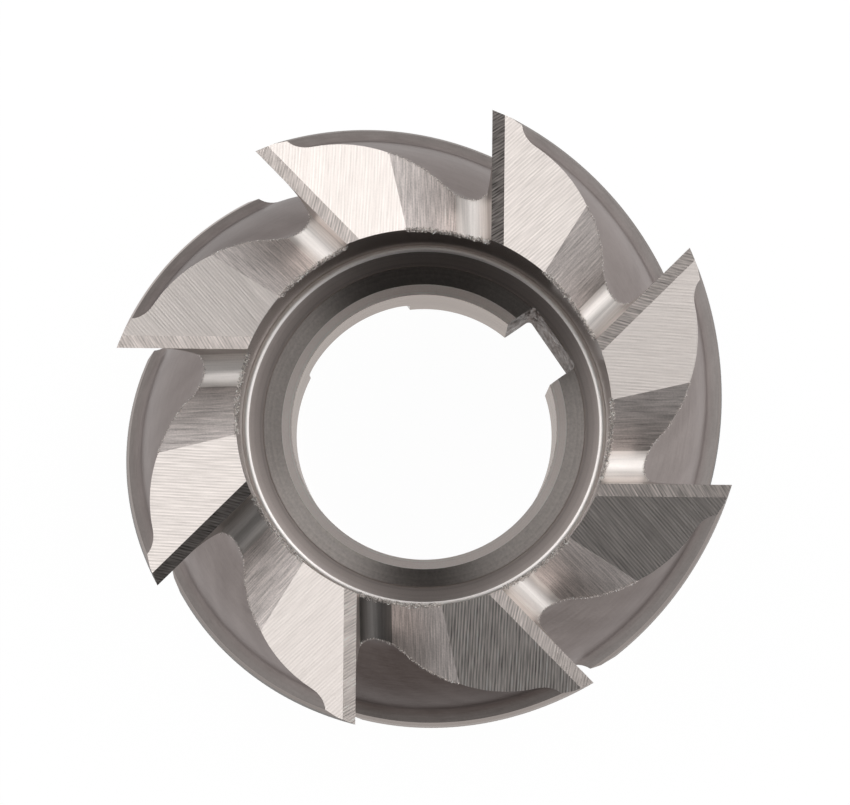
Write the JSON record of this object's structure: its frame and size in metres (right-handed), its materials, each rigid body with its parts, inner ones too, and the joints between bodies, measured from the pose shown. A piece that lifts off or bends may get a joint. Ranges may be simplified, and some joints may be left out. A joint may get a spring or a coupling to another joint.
{
  "type": "shell end mill",
  "caption": "Shell end mill of one piece of steel, with helical teeth, end teeth round a deep screw recess, a keyed bore and a drive slot across the back.",
  "frame": {"origin": "centre of the flat back face, on the cutter's axis", "axes": "+Z along the axis to the cutting end, +Y towards the keyway, X along the drive slot"},
  "size_m": [0.05, 0.05, 0.036],
  "materials": {
    "cutter_steel": "ground lands, milled gashes, bright"
  },
  "bodies": {
    "root": {"shell_end_mill": "cutter_steel"}
  },
  "joints": []
}
